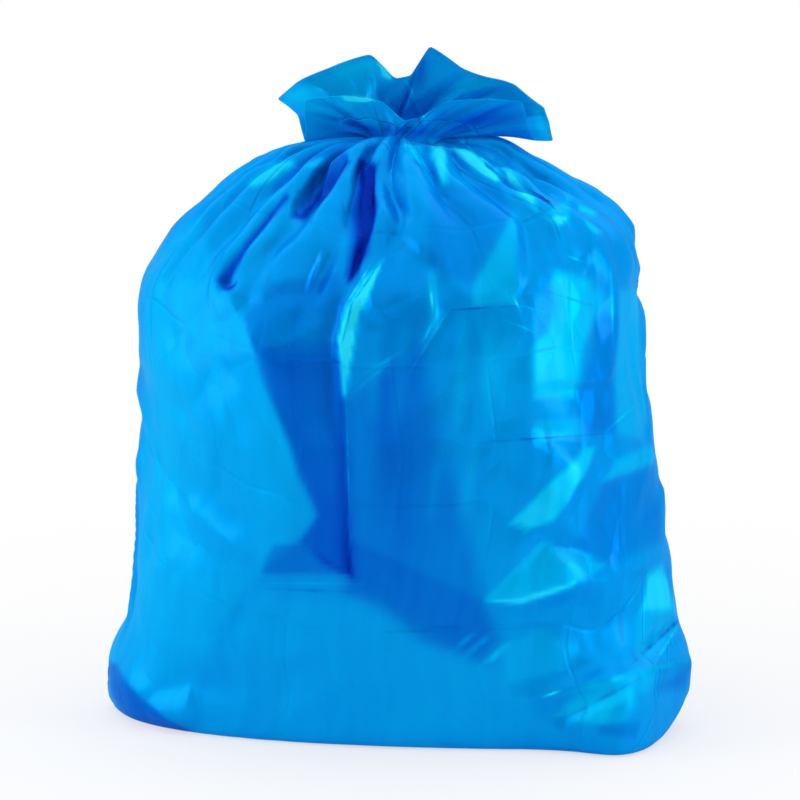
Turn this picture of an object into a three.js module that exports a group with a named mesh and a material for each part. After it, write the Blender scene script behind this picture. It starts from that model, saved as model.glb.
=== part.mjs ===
// A filled refuse sack, standing on its base: one tube of thin film, sealed along the bottom,
// gathered and tied at the neck, with its open mouth flaring into two ears above the tie.
// Millimetres, +Z up, front towards -Y. The origin is on the floor, under the middle of the sack.

import * as THREE from 'three';
import { LoftGeometry } from 'three/addons/geometries/LoftGeometry.js';

// Main sizes
const WIDTH = 576; // across the heel, where the full sack is widest
const DEPTH = 391; // front to back at the waist, which gives the girth of the film
const TIE_HEIGHT = 582; // floor to tie
const NECK_DIAMETER = 58; // the bunched film inside the tie

// The film
const GIRTH_SLACK = 0.04; // share of the girth taken up by small wrinkles where the sack is full
const MOUTH_WALL = 2.4; // thickness of the film in the open mouth

// The standing form, section by section from the floor to the tie
const HEEL_ROUND = 14; // how far the film turns in where it meets the floor
const HEEL_HEIGHT = TIE_HEIGHT * 0.086;
const HIP_HEIGHT = TIE_HEIGHT * 0.275;
const HIP_WIDTH = WIDTH * 0.924;
const WAIST_HEIGHT = TIE_HEIGHT * 0.502;
const WAIST_WIDTH = WIDTH * 0.878;
const CHEST_HEIGHT = TIE_HEIGHT * 0.728;
const CHEST_WIDTH = WIDTH * 0.866;
const SHOULDER_HEIGHT = TIE_HEIGHT * 0.866;
const SHOULDER_WIDTH = WIDTH * 0.757;
const SHOULDER_DEPTH = DEPTH * 0.834;
const COLLAR_HEIGHT = TIE_HEIGHT * 0.954;
const COLLAR_WIDTH = WIDTH * 0.476;
const COLLAR_DEPTH = DEPTH * 0.522;
const THROAT_HEIGHT = TIE_HEIGHT * 0.991;
const THROAT_WIDTH = WIDTH * 0.312;
const THROAT_DEPTH = DEPTH * 0.297;
const CORNER_FULLNESS = 0.035; // share by which the sections swell between front and sides

// How far each section leans to the left
const HEEL_LEAN = 4;
const HIP_LEAN = -5;
const WAIST_LEAN = 3;
const CHEST_LEAN = 12;
const SHOULDER_LEAN = -5;
const COLLAR_LEAN = 3;

// The base: askew, bulging forward along the floor near its right end, with corners that rise clear
const BASE_TURN = -11; // degrees by which the bottom seam lies askew, its right end nearer the front
const FOOT_REACH = 70;
const FOOT_TURN = -31; // degrees from the right-hand corner towards the front
const FOOT_SPREAD = 17; // degrees
const FOOT_TOP = 130;
const CORNER_RISE = 0.8; // how far a corner rises, as a share of the heel's height
const RIGHT_CORNER_DEPTH = 104; // half the depth at which the base starts to rise towards the corner
const LEFT_CORNER_DEPTH = 18;
const RIGHT_SOLE = 0.8; // share of the base that lies flat, on each side and front to back
const LEFT_SOLE = 0.92;
const SOLE_DEPTH = 0.9;

// Sealed ends of the bottom seam, and the scalloped fold that runs up each side from them
const EAR_REACH = 13;
const EAR_HEIGHT = 62;
const EAR_TALL = 34;
const SCALLOP_DEPTH = 4;
const SCALLOP_PITCH = 62;
const SCALLOP_TOP = 280;
const SIDE_FOLD_ARC = 36;

// Gathers that run down from the tie
const GATHER_COUNT = 24;
const GATHER_STEEPNESS = 0.66; // height of a gather for its pitch, where half the girth is spare
const GATHER_LIMIT = 0.5; // the most that a gather stands up, as a share of its pitch
const GATHER_REACH = 120; // how far down the shoulder they run, on average
const GATHER_SPREAD = 55; // how much longer or shorter single gathers are
const GATHER_UNEVENNESS = 0.1; // 0 spaces them evenly

// What the rubbish inside pushes out
const LUMP_HEIGHT = 6;
const LUMP_PITCH = 180;

// Folds deeper than the gathers. Each fold gives its own reach and height as a share of these.
const FOLD_REACH = 100;
const FOLD_HEIGHT = 10;

// The mouth above the tie: ears to the right and left, with a notch between them
const RIGHT_EAR_REACH = 154;
const RIGHT_EAR_PEAK = 93;
const LEFT_EAR_REACH = 126;
const LEFT_EAR_PEAK = 85;
const NOTCH_HEIGHT = 63;
const RIM_ROUNDNESS = 0.3; // 0 joins the rim's points with straight lines
const MOUTH_DEPTH = 50; // front film to back film
const MOUTH_RISE = 18; // how far the back film climbs before it falls outwards
const MOUTH_FRONT_RISE = 6;
const MOUTH_KNEE = 0.3; // share of the way out at which it turns over
const RUFFLE_HEIGHT = 3;
const RUFFLE_COUNT = 13;
const LINING_DEPTH = 0.86; // share of the mouth that is open, from the rim down to the tie
const CORE_DIAMETER = 20; // bunched film that stands up out of the tie, inside the mouth
const CORE_HEIGHT = 20;

// Fineness of the loft
const AROUND = 100;
const WALL_RINGS = 43;
const MOUTH_RINGS = 8;
const LINING_RINGS = 5;

const FULL_TURN = Math.PI * 2;
const RIGHT = 0;
const LEFT = Math.PI;
const FRONT = -1;
const BACK = 1;
const UP = new THREE.Vector3(0, 0, 1);
const { clamp, degToRad, euclideanModulo, lerp, smoothstep } = THREE.MathUtils;
const girth = ellipseLength(WAIST_WIDTH, DEPTH) / (1 - GIRTH_SLACK);

// Each fold is a line on the front or the back, drawn downwards or to the right as the front shows it.
// Its points give the share of half the width to the right of the tie and the share of the tie's height.
// reach is for the left or lower flank and for the right or upper one. A negative height is a valley.
const folds = [
  { face: FRONT, line: [[-0.39, 0.93], [-0.53, 0.85], [-0.59, 0.79]], reach: [0.2, 0.2], height: -1.3 },
  { face: FRONT, line: [[-0.18, 0.99], [-0.28, 0.94], [-0.35, 0.9]], reach: [0.18, 0.18], height: -1.2 },
  { face: FRONT, line: [[-0.09, 0.98], [-0.13, 0.88], [-0.17, 0.79]], reach: [0.2, 0.22], height: -1.7 },
  { face: FRONT, line: [[0.01, 1], [0.07, 0.9], [0.09, 0.81]], reach: [0.2, 0.25], height: 0.6 },
  { face: FRONT, line: [[0.36, 0.97], [0.45, 0.92], [0.54, 0.87]], reach: [0.2, 0.2], height: 0.8 },
  { face: FRONT, line: [[0.38, 0.9], [0.38, 0.78]], reach: [0.38, 0.2], height: 0.6 },
  { face: FRONT, line: [[-0.06, 0.82], [-0.19, 0.7], [-0.17, 0.51]], reach: [0.2, 0.57], height: 1.2 },
  { face: FRONT, line: [[-0.51, 0.74], [-0.41, 0.63], [-0.26, 0.41]], reach: [1, 0.71], height: 2.2 },
  { face: FRONT, line: [[0.44, 0.78], [0.43, 0.69], [0.42, 0.55]], reach: [0.32, 0.63], height: 0.8 },
  { face: FRONT, line: [[0.61, 0.52], [0.57, 0.47], [0.48, 0.38]], reach: [1.8, 0.43], height: 1.3 },
  { face: FRONT, line: [[-0.27, 0.41], [-0.38, 0.37], [-0.46, 0.32]], reach: [0.67, 0.32], height: 1 },
  { face: FRONT, line: [[-0.46, 0.31], [-0.3, 0.29], [-0.16, 0.29]], reach: [0.2, 0.38], height: -0.9 },
  { face: FRONT, line: [[-0.16, 0.29], [0.08, 0.22], [0.3, 0.16]], reach: [0.85, 0.67], height: -1.3 },
  { face: FRONT, line: [[0.27, 0.27], [0.55, 0.29], [0.69, 0.3]], reach: [0.23, 1.04], height: 1.1 },
  { face: FRONT, line: [[0.35, 0.1], [0.66, 0.13], [0.97, 0.16]], reach: [0.2, 0.2], height: 0.8 },
  { face: FRONT, line: [[0.78, 0.17], [0.93, 0.24]], reach: [0.2, 0.2], height: -0.8 },
  { face: FRONT, line: [[-0.93, 0.15], [-0.87, 0.12], [-0.69, 0.04]], reach: [0.4, 0.38], height: 1.2 },
  { face: FRONT, line: [[-0.7, 0.43], [-0.49, 0.32]], reach: [0.28, 0.28], height: 0.5 },
  { face: BACK, line: [[0.22, 0.98], [0.68, 0.68]], reach: [0.3, 0.3], height: -1.4 },
  { face: BACK, line: [[0.04, 0.99], [0, 0.65]], reach: [0.34, 0.34], height: -1.6 },
  { face: BACK, line: [[-0.15, 0.98], [-0.58, 0.72]], reach: [0.27, 0.27], height: -1.3 },
  { face: BACK, line: [[0.44, 0.56], [-0.16, 0.25]], reach: [0.76, 0.76], height: -0.9 },
  { face: BACK, line: [[-0.5, 0.52], [0.08, 0.34]], reach: [0.34, 0.34], height: 1 },
  { face: BACK, line: [[0.44, 0.45], [0.79, 0.36]], reach: [0.38, 0.38], height: 0.9 },
];

// Section sizes from the floor to the tie
const heel = full({ height: HEEL_HEIGHT, width: WIDTH, lean: HEEL_LEAN, turn: BASE_TURN });
const sections = [
  { ...heel, height: 0, width: heel.width - HEEL_ROUND * 2, depth: heel.depth - HEEL_ROUND * 2 },
  { ...heel, height: HEEL_ROUND },
  heel,
  full({ height: HIP_HEIGHT, width: HIP_WIDTH, lean: HIP_LEAN, turn: BASE_TURN / 2 }),
  full({ height: WAIST_HEIGHT, width: WAIST_WIDTH, lean: WAIST_LEAN, turn: 0 }),
  full({ height: CHEST_HEIGHT, width: CHEST_WIDTH, lean: CHEST_LEAN, turn: 0 }),
  { height: SHOULDER_HEIGHT, width: SHOULDER_WIDTH, depth: SHOULDER_DEPTH, lean: SHOULDER_LEAN, turn: 0 },
  { height: COLLAR_HEIGHT, width: COLLAR_WIDTH, depth: COLLAR_DEPTH, lean: COLLAR_LEAN, turn: 0 },
  { height: THROAT_HEIGHT, width: THROAT_WIDTH, depth: THROAT_DEPTH, lean: 0, turn: 0 },
  { height: TIE_HEIGHT, width: NECK_DIAMETER, depth: NECK_DIAMETER, lean: 0, turn: 0 },
];
const profile = new THREE.SplineCurve(
  sections.map(({ width, height }) => new THREE.Vector2(width / 2, height)),
);
const sizeAlong = Object.fromEntries(
  Object.keys(heel).map((key) => [
    key,
    new THREE.SplineCurve(sections.map((section, step) => new THREE.Vector2(step, section[key]))),
  ]),
);

function ellipseLength(width, depth) {
  const a = width / 2;
  const b = depth / 2;
  return Math.PI * (3 * (a + b) - Math.sqrt((3 * a + b) * (a + 3 * b)));
}

// Gives a full section the depth at which it takes up the sack's girth
function full(section) {
  const taut = girth * (1 - GIRTH_SLACK);
  let low = 0;
  let high = taut / 2;
  for (let step = 0; step < 40; step += 1) {
    const middle = (low + high) / 2;
    if (ellipseLength(section.width, middle) > taut) high = middle;
    else low = middle;
  }
  return { ...section, depth: low };
}

// Sizes of the section at rise, which is 0 at the floor and 1 at the tie, measured along the film
function sectionAt(rise) {
  const step = profile.getUtoTmapping(rise);
  const size = {};
  for (const key of Object.keys(sizeAlong)) size[key] = sizeAlong[key].getPoint(step).y;
  return size;
}

// Signed angle from one direction to another, between half a turn back and half a turn on
function angleFrom(angle, direction) {
  return euclideanModulo(angle - direction + Math.PI, FULL_TURN) - Math.PI;
}

// A slow, smooth variation round the sack, between about -1 and 1
function wander(angle, start) {
  return (
    0.5 * Math.sin(2 * angle + start) +
    0.3 * Math.sin(3 * angle + 2 * start) +
    0.2 * Math.sin(7 * angle + 3 * start)
  );
}

function bell(distance, reach) {
  return Math.exp(-((distance / reach) ** 2));
}

function footReach(angle, height) {
  const away = angleFrom(angle, degToRad(FOOT_TURN));
  return FOOT_REACH * bell(away, degToRad(FOOT_SPREAD)) * (1 - smoothstep(height, HEEL_ROUND, FOOT_TOP));
}

// How far the base has risen from the floor, towards its corners
function cornerLift(angle) {
  const reach = Math.abs((heel.depth / 2) * Math.sin(angle) - footReach(angle, HEEL_HEIGHT));
  const start = Math.cos(angle) > 0 ? RIGHT_CORNER_DEPTH : LEFT_CORNER_DEPTH;
  return CORNER_RISE * Math.max(1 - reach / start, 0) ** 2;
}

// The wall without its folds
function smoothWall(angle, rise) {
  const size = sectionAt(rise);
  const swell = 1 + CORNER_FULLNESS * Math.sin(2 * angle) ** 2;
  const point = new THREE.Vector3(
    (size.width / 2) * swell * Math.cos(angle),
    (size.depth / 2) * swell * Math.sin(angle) - footReach(angle, size.height),
    size.height + cornerLift(angle) * Math.max(HEEL_HEIGHT - size.height, 0),
  );
  point.applyAxisAngle(UP, degToRad(size.turn));
  return point.setX(point.x - size.lean);
}

// Rounded gathers with sharp valleys between them, as high as the spare girth makes them
function gatherHeight(angle, size) {
  const outline = ellipseLength(size.width, size.depth);
  const spare = Math.max(girth / outline - 1, 0);
  const pitch = outline / GATHER_COUNT;
  const height = pitch * Math.min(GATHER_STEEPNESS * Math.sqrt(spare), GATHER_LIMIT);
  const start = TIE_HEIGHT - GATHER_REACH + GATHER_SPREAD * wander(angle * 2, 1);
  const fade = smoothstep(size.height, start - GATHER_SPREAD, start + GATHER_SPREAD);
  const phase = (GATHER_COUNT * (angle + GATHER_UNEVENNESS * wander(angle, 4))) / 2;
  return height * fade * (Math.abs(Math.sin(phase)) - 2 / Math.PI);
}

// How far a place lies off a fold's line, positive to its right or above it, and its share of the way along
function placeBy(line, place) {
  const points = line.map(([across, up]) => new THREE.Vector3((across * WIDTH) / 2, 0, up * TIE_HEIGHT));
  const spans = points.slice(1).map((end, index) => {
    const span = new THREE.Line3(points[index], end);
    const share = span.closestPointToPointParameter(place, true);
    const off = place.clone().sub(span.at(share, new THREE.Vector3()));
    const side = span.delta(new THREE.Vector3()).cross(off).y > 0 ? -1 : 1;
    return { away: off.length() * side, share: (index + share) / (points.length - 1) };
  });
  return spans.reduce((best, span) => (Math.abs(span.away) < Math.abs(best.away) ? span : best));
}

// A fold has straight flanks that meet in an edge, and thins out towards both ends
function foldHeight(fold, point, normal) {
  const facing = smoothstep(normal.y * fold.face, 0.05, 0.3);
  const { away, share } = placeBy(fold.line, new THREE.Vector3(point.x, 0, point.z));
  const reach = FOLD_REACH * fold.reach[away > 0 ? 1 : 0];
  const flank = Math.max(1 - Math.abs(away) / reach, 0) ** 1.4;
  const ends = 1 - 0.75 * Math.abs(2 * share - 1) ** 3;
  return FOLD_HEIGHT * fold.height * facing * flank * ends;
}

// The sealed corner at one end of the bottom, and the scalloped side fold above it
function sideHeight(side, angle, size) {
  const across = angleFrom(angle, side) * (size.width / 2);
  const corner = EAR_REACH * bell(size.height - EAR_HEIGHT, EAR_TALL);
  const climb = (Math.PI * size.height) / SCALLOP_PITCH + side / 2;
  const top = 1 - smoothstep(size.height, SCALLOP_TOP - SCALLOP_PITCH, SCALLOP_TOP);
  const foot = smoothstep(size.height, 0, EAR_HEIGHT);
  const scallop = SCALLOP_DEPTH * top * foot * Math.abs(Math.sin(climb));
  return (corner + scallop) * bell(across, SIDE_FOLD_ARC);
}

function lumpHeight(angle, size) {
  const climb = (FULL_TURN * size.height) / LUMP_PITCH;
  const filled = smoothstep(size.height, HEEL_HEIGHT, HIP_HEIGHT);
  return LUMP_HEIGHT * filled * (wander(angle, climb / 3) + 0.4 * Math.sin(climb + 4 * angle));
}

// Unit normal of a surface point(angle, step), pointing away from the film's inner face
function normalOf(point, angle, step) {
  const nudge = 1e-3;
  const below = Math.max(step - nudge, 0);
  const above = Math.min(step + nudge, 1);
  const round = point(angle + nudge, step).sub(point(angle - nudge, step));
  const along = point(angle, above).sub(point(angle, below));
  return round.cross(along).normalize();
}

// The wall with its folds, which stand straight out from it, and level where it meets the floor
function wall(angle, rise) {
  const size = sectionAt(rise);
  const point = smoothWall(angle, rise);
  const normal = normalOf(smoothWall, angle, rise);
  let relief = gatherHeight(angle, size) + lumpHeight(angle, size);
  for (const fold of folds) relief += foldHeight(fold, point, normal);
  for (const side of [RIGHT, LEFT]) relief += sideHeight(side, angle, size);
  normal.setZ(normal.z * smoothstep(size.height, 0, HEEL_HEIGHT)).normalize();
  return point.addScaledVector(normal, relief);
}

// The flat of the base, inside the edge of the wall
function sole(angle) {
  const edge = wall(angle, 0);
  return edge.set(edge.x * (edge.x > 0 ? RIGHT_SOLE : LEFT_SOLE), edge.y * SOLE_DEPTH, 0);
}

// The rim of the mouth, round from the right ear by the back, the left ear and the front. Each point
// gives millimetres to the right, the share of the mouth's depth, and millimetres above the tie.
const rim = new THREE.CatmullRomCurve3(
  [
    [RIGHT_EAR_REACH, 0.08, 0],
    [RIGHT_EAR_REACH * 0.98, 0.28, RIGHT_EAR_PEAK * 0.19],
    [RIGHT_EAR_REACH * 0.94, 0.36, RIGHT_EAR_PEAK * 0.35],
    [RIGHT_EAR_REACH * 0.75, 0.4, RIGHT_EAR_PEAK * 0.59],
    [RIGHT_EAR_REACH * 0.58, 0.4, RIGHT_EAR_PEAK * 0.69],
    [RIGHT_EAR_REACH * 0.4, 0.36, RIGHT_EAR_PEAK * 0.8],
    [RIGHT_EAR_REACH * 0.19, 0.28, RIGHT_EAR_PEAK],
    [0, 0.32, NOTCH_HEIGHT],
    [-LEFT_EAR_REACH * 0.22, 0.28, LEFT_EAR_PEAK],
    [-LEFT_EAR_REACH * 0.57, 0.36, LEFT_EAR_PEAK * 0.84],
    [-LEFT_EAR_REACH, 0.16, LEFT_EAR_PEAK * 0.48],
    [-LEFT_EAR_REACH * 0.8, -0.28, LEFT_EAR_PEAK * 0.18],
    [-LEFT_EAR_REACH * 0.72, -0.46, LEFT_EAR_PEAK * 0.4],
    [-LEFT_EAR_REACH * 0.46, -0.44, LEFT_EAR_PEAK * 0.53],
    [-LEFT_EAR_REACH * 0.12, -0.52, LEFT_EAR_PEAK * 0.47],
    [RIGHT_EAR_REACH * 0.06, -0.58, NOTCH_HEIGHT * 0.35],
    [RIGHT_EAR_REACH * 0.23, -0.52, RIGHT_EAR_PEAK * 0.34],
    [RIGHT_EAR_REACH * 0.47, -0.46, RIGHT_EAR_PEAK * 0.46],
    [RIGHT_EAR_REACH * 0.71, -0.38, RIGHT_EAR_PEAK * 0.45],
    [RIGHT_EAR_REACH * 0.82, -0.28, RIGHT_EAR_PEAK * 0.15],
  ].map(([x, y, z]) => new THREE.Vector3(x, y * MOUTH_DEPTH, TIE_HEIGHT + z)),
  true,
  'catmullrom',
  RIM_ROUNDNESS,
);

// The mouth rises from the tie and falls outwards to the rim. flare goes from 0 at the tie to 1 there.
function mouth(angle, flare) {
  const foot = wall(angle, 1);
  const edge = rim.getPoint(euclideanModulo(angle / FULL_TURN, 1));
  const knee = foot.clone().lerp(edge, MOUTH_KNEE);
  knee.z += lerp(MOUTH_FRONT_RISE, MOUTH_RISE, clamp(edge.y / MOUTH_DEPTH + 0.5, 0, 1));
  const point = new THREE.QuadraticBezierCurve3(foot, knee, edge).getPoint(flare);
  const ruffle = RUFFLE_HEIGHT * Math.sin(Math.PI * flare) * Math.sin(RUFFLE_COUNT * angle + 2 * flare);
  return point.setY(point.y + ruffle);
}

function lining(angle, flare) {
  const outside = normalOf(mouth, angle, flare);
  return mouth(angle, flare).addScaledVector(outside, -MOUTH_WALL);
}

function core(angle) {
  const radius = CORE_DIAMETER / 2;
  return new THREE.Vector3(radius * Math.cos(angle), radius * Math.sin(angle), TIE_HEIGHT + CORE_HEIGHT);
}

function ring(surface, step) {
  return Array.from({ length: AROUND }, (unused, index) => surface((index / AROUND) * FULL_TURN, step));
}

// Rings of a surface, from just after one step to another
function rings(surface, from, to, count) {
  return Array.from({ length: count }, (unused, index) => {
    const share = (index + 1) / count;
    return ring(surface, lerp(from, to, share));
  });
}

function sackGeometry() {
  const loft = new LoftGeometry(
    [
      ring(sole),
      ring(wall, 0),
      ...rings(wall, 0, 1, WALL_RINGS),
      ...rings(mouth, 0, 1, MOUTH_RINGS),
      ring(lining, 1),
      ...rings(lining, 1, 1 - LINING_DEPTH, LINING_RINGS),
      ring(core),
    ],
    { capStart: true, capEnd: true },
  );
  loft.computeBoundingBox();
  const middle = loft.boundingBox.getCenter(new THREE.Vector3());
  return loft.translate(-middle.x, -middle.y, 0);
}

const film = new THREE.MeshStandardMaterial({ color: 0x0b83e0, roughness: 0.28, metalness: 0 });

const sack = new THREE.Mesh(sackGeometry(), film);
sack.name = 'trash_bag';

const part = new THREE.Group();
part.add(sack);

export default part;
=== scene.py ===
import math

import bmesh
import bpy
import numpy as np
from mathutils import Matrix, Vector, noise


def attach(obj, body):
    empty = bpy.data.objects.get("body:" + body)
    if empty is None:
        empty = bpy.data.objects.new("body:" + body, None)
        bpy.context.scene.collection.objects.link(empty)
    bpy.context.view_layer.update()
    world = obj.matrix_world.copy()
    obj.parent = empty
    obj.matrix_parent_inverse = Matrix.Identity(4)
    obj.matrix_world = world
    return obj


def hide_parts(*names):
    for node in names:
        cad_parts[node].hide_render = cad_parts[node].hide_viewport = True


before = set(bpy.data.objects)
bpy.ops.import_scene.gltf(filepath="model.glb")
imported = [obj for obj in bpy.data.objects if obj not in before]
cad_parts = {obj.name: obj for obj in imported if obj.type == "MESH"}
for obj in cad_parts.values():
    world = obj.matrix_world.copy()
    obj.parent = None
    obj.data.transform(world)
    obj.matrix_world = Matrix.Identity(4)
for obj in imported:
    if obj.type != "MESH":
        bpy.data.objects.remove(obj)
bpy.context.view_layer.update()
scene = bpy.context.scene

# The photograph's view: where the camera aims, in metres, and how far away it stands
view = {
    "aim": (0.005, 0.003, 0.323),
    "distance": 3.2,
    "elevation": 7.0,
    "lens": 144.0,
    "sensor": 36.0,
    "pixels": 800,
}

# The sack: sizes in millimetres, turned into metres when the mesh is made
sack = {
    "girth": 1474.0,  # round the film tube, twice its lay-flat width
    "length": 990.0,  # from the bottom seam to the rim
    "neckAt": 836.0,  # film between the bottom seam and the tie
    "columns": 182,  # faces round the tube
    "rows": 126,  # faces from the bottom seam to the rim
    "slack": 0.04,  # share of the girth in small wrinkles where the sack is full
    "squareness": 0.035,  # how much fuller than an ellipse the sections are
    "heelRound": 14.0,  # how the film turns up from the floor
    "ear": 0.045,  # how far the sealed corners stand out, as a share of the width
    "earHeight": 62.0,
    "earReach": (34.0, 0.11),  # up and down, and round the sack
    "foot": (-31.0, 70.0),  # where the film bulges forward along the floor, in degrees, and how far
    "footReach": 0.3,  # round the sack, in radians
    "footFade": (20.0, 130.0),  # heights over which it dies away
    "cornerLift": (10.0, 116.0),  # over what depth the left and right corners rise from the floor
    "shift": (5.0, 3.0),  # places the sack over the middle of the frame
    "pleats": 24,  # gathers at the tie
    "pleatHeight": (0.66, 0.9),  # against the root of the spare girth, and at most, in pitches
    "pleatEnd": (120.0, 55.0),  # how far below the tie they end, and how much that varies
    "pleatDrift": 0.1,
    "smoother": (-40.0, 0.55),  # where they are lower, in degrees, and by how much
    "smootherReach": 0.35,
    "lumps": 6.0,
    "lumpHeight": 180.0,  # of one lump
    "lumpFade": (50, 160),  # heights over which the lumps set in
    "reliefFade": (50, 90),  # and all other relief
    "formGrid": (1440, 260, 60),  # points round the form, up its wall and across its base
    "wall": 1.2,  # between the film of the mouth and its lining
}

# Sections from the heel to the tie: height, width, depth (None fills the girth), lean to the left, turn
sections = [
    (50, 576, None, 4, -11),
    (160, 532, None, -5, -6),
    (292, 506, None, 3, 0),
    (424, 499, None, 12, 0),
    (470, 487, 366, 2, 0),
    (512, 422, 316, -8, 0),
    (555, 274, 204, 3, 0),
    (577, 180, 116, 0, 0),
    (582, 58, 58, 0, 0),
]

foldShape = {  # of all folds and creases
    "round": 2.0,  # radius of the edge where the flanks meet
    "sharpness": 1.4,
    "ends": 0.75,  # how much lower a fold is at its ends
    "backEnds": 0.6,
    "backTail": 1.5,  # reach past its ends, in half widths
    "facing": (0.05, 0.3),  # how far to the front the film has to face
}

# Folds of the front, as lines on the photograph drawn downwards or to the right: points, reach of the
# left or lower flank, reach of the right or upper flank, height
frontFolds = [
    (((286, 192), (240, 245), (222, 284)), 10, 12, -9),
    (((219, 286), (238, 281)), 9, 9, -6),
    (((348, 152), (318, 186), (296, 214)), 14, 14, -12),
    (((373, 158), (360, 225), (350, 284)), 14, 20, -17),
    (((333, 252), (309, 296)), 9, 9, -5),
    (((404, 150), (420, 215), (428, 268)), 18, 26, 6),
    (((436, 148), (446, 190)), 9, 10, 6),
    (((458, 150), (502, 184)), 10, 10, 7),
    (((505, 166), (532, 196), (562, 230)), 12, 14, 10),
    (((515, 160), (560, 195)), 16, 12, -7),
    (((512, 215), (516, 290)), 40, 12, 6),
    (((382, 260), (350, 306), (341, 340), (345, 392), (350, 450)), 10, 60, 12),
    (((246, 312), (275, 377), (296, 450), (320, 516)), 105, 75, 22),
    (((429, 272), (435, 332)), 14, 14, 4),
    (((449, 309), (411, 370)), 6, 6, -3),
    (((532, 288), (530, 345), (527, 428)), 34, 66, 8),
    (((597, 268), (598, 350)), 16, 14, -5),
    (((612, 266), (614, 345)), 12, 10, 4),
    (((584, 446), (574, 474), (544, 532)), 190, 45, 13),
    (((318, 512), (284, 540), (262, 570)), 70, 34, 10),
    (((352, 588), (425, 629), (490, 664)), 90, 70, -13),
    (((482, 599), (567, 584), (610, 578)), 24, 110, 11),
    (((486, 596), (548, 541), (605, 562)), 14, 14, -4),
    (((594, 478), (651, 453)), 14, 14, 5),
    (((506, 702), (600, 684), (692, 661)), 18, 18, 8),
    (((544, 725), (590, 700), (634, 675)), 14, 14, -5),
    (((636, 660), (682, 617)), 12, 12, -8),
    (((120, 668), (138, 686), (192, 733)), 42, 40, 12),
    (((188, 499), (253, 566)), 30, 30, 5),
]

# Folds of the back: turn from the front towards the right in degrees, height, half width, height
backFolds = [
    ((140, 128), (572, 398), 16, -14),
    ((172, 180), (576, 378), 18, -16),
    ((205, 222), (572, 418), 14, -13),
    ((150, 190), (328, 148), 40, -9),
    ((215, 175), (300, 200), 18, 10),
    ((120, 150), (210, 260), 20, 9),
]

# Rim of the mouth: share of the way round from the right fold by the back, then place from the tie
rimPoints = [
    (0.00, 154, 4, 0), (0.05, 151, 14, 18), (0.10, 145, 18, 33), (0.15, 115, 20, 55),
    (0.20, 90, 20, 64), (0.25, 62, 18, 74), (0.29, 31, 14, 93), (0.33, 12, 16, 66),
    (0.36, -4, 16, 63), (0.40, -28, 14, 85), (0.44, -60, 18, 76), (0.47, -98, 18, 60),
    (0.50, -121, 8, 41), (0.54, -98, -10, 26), (0.57, -92, -20, -3), (0.61, -91, -24, 42),
    (0.66, -50, -22, 46), (0.70, -15, -26, 40), (0.74, 6, -30, 22), (0.78, 22, -28, 24),
    (0.82, 48, -24, 40), (0.87, 90, -22, 44), (0.92, 122, -18, 40), (0.95, 127, -14, 14),
    (0.98, 135, -6, 1),
]
mouthShape = {
    "rimLift": 2.0,
    "knee": 0.3,  # where the film bends outwards above the tie, as a share of the way to the rim
    "kneeLift": (3.0, 13.0),  # of the front, and how much more at the back
    "kneeBack": (-6.0, 12.0),  # places of the rim between the two
    "ripples": 13,
    "rippleHeight": 3.0,
    "rippleTurn": 2.0,  # from the tie to the rim, in radians
}


def ellipseLength(width, depth):
    a, b = width / 2, depth / 2
    return math.pi * (3 * (a + b) - math.sqrt((3 * a + b) * (a + 3 * b)))


def fullDepth(width):  # depth at which a full section takes up the girth
    low, high = 0.0, sack["girth"] / 2
    for step in range(40):
        middle = (low + high) / 2
        if ellipseLength(width, middle) > sack["girth"] * (1 - sack["slack"]):
            high = middle
        else:
            low = middle
    return low


def smooth(value, low, high):
    share = np.clip((value - low) / (high - low), 0, 1)
    return share * share * (3 - 2 * share)


def bell(value, reach):
    return np.exp(-((value / reach) ** 2))


def spline(keys, at):  # Catmull-Rom through evenly spaced keys
    keys = np.asarray(keys, float)
    last = len(keys) - 1
    start = np.clip(np.floor(at).astype(int), 0, last - 1)
    share = (at - start)[:, None]
    before = keys[np.maximum(start - 1, 0)]
    after = keys[np.minimum(start + 2, last)]
    low, high = keys[start], keys[start + 1]
    inAt, outAt = (high - before) / 2, (after - low) / 2
    return (
        (2 * low - 2 * high + inAt + outAt) * share**3
        + (-3 * low + 3 * high - 2 * inAt - outAt) * share**2
        + inAt * share
        + low
    )


def wander(angle, start):  # slow variation round the sack
    slow = 0.5 * np.sin(2 * angle + start) + 0.3 * np.sin(3 * angle + 2 * start)
    return slow + 0.2 * np.sin(7 * angle + 3 * start)


def wallPoints(angle, step):
    keys = [[row[0], row[1], row[2] or fullDepth(row[1]), row[3], row[4]] for row in sections]
    height, width, depth, lean, turn = spline(keys, step.ravel()).T.reshape(5, *step.shape)
    swell = 1 + sack["squareness"] * np.sin(2 * angle) ** 2
    earUp, earRound = sack["earReach"]
    corner = bell(np.sin(angle / 2), earRound) + bell(np.cos(angle / 2), earRound)
    ear = 1 + sack["ear"] * bell(height - sack["earHeight"], earUp) * corner
    footAt, footOut = sack["foot"]
    away = np.mod(angle - math.radians(footAt) + math.pi, 2 * math.pi) - math.pi
    foot = footOut * bell(away, sack["footReach"]) * (1 - smooth(height, *sack["footFade"]))
    x = width / 2 * swell * ear * np.cos(angle)
    y = depth / 2 * swell * np.sin(angle) - foot
    turn = np.radians(turn)
    place = [x * np.cos(turn) - y * np.sin(turn) - lean, x * np.sin(turn) + y * np.cos(turn), height]
    return np.stack(place, -1), (height, width, depth)


def photoPlace(points):  # where the photograph shows points of the sack, in its pixels
    lift = math.radians(view["elevation"])
    towards = np.array([0, math.cos(lift), -math.sin(lift)])
    up = np.array([0, math.sin(lift), math.cos(lift)])
    offset = points / 1000 - np.array(view["aim"])
    scale = view["lens"] / view["sensor"] * view["pixels"] / (offset @ towards + view["distance"])
    middle = view["pixels"] / 2
    return middle + offset[..., 0] * scale, middle - (offset @ up) * scale


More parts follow.
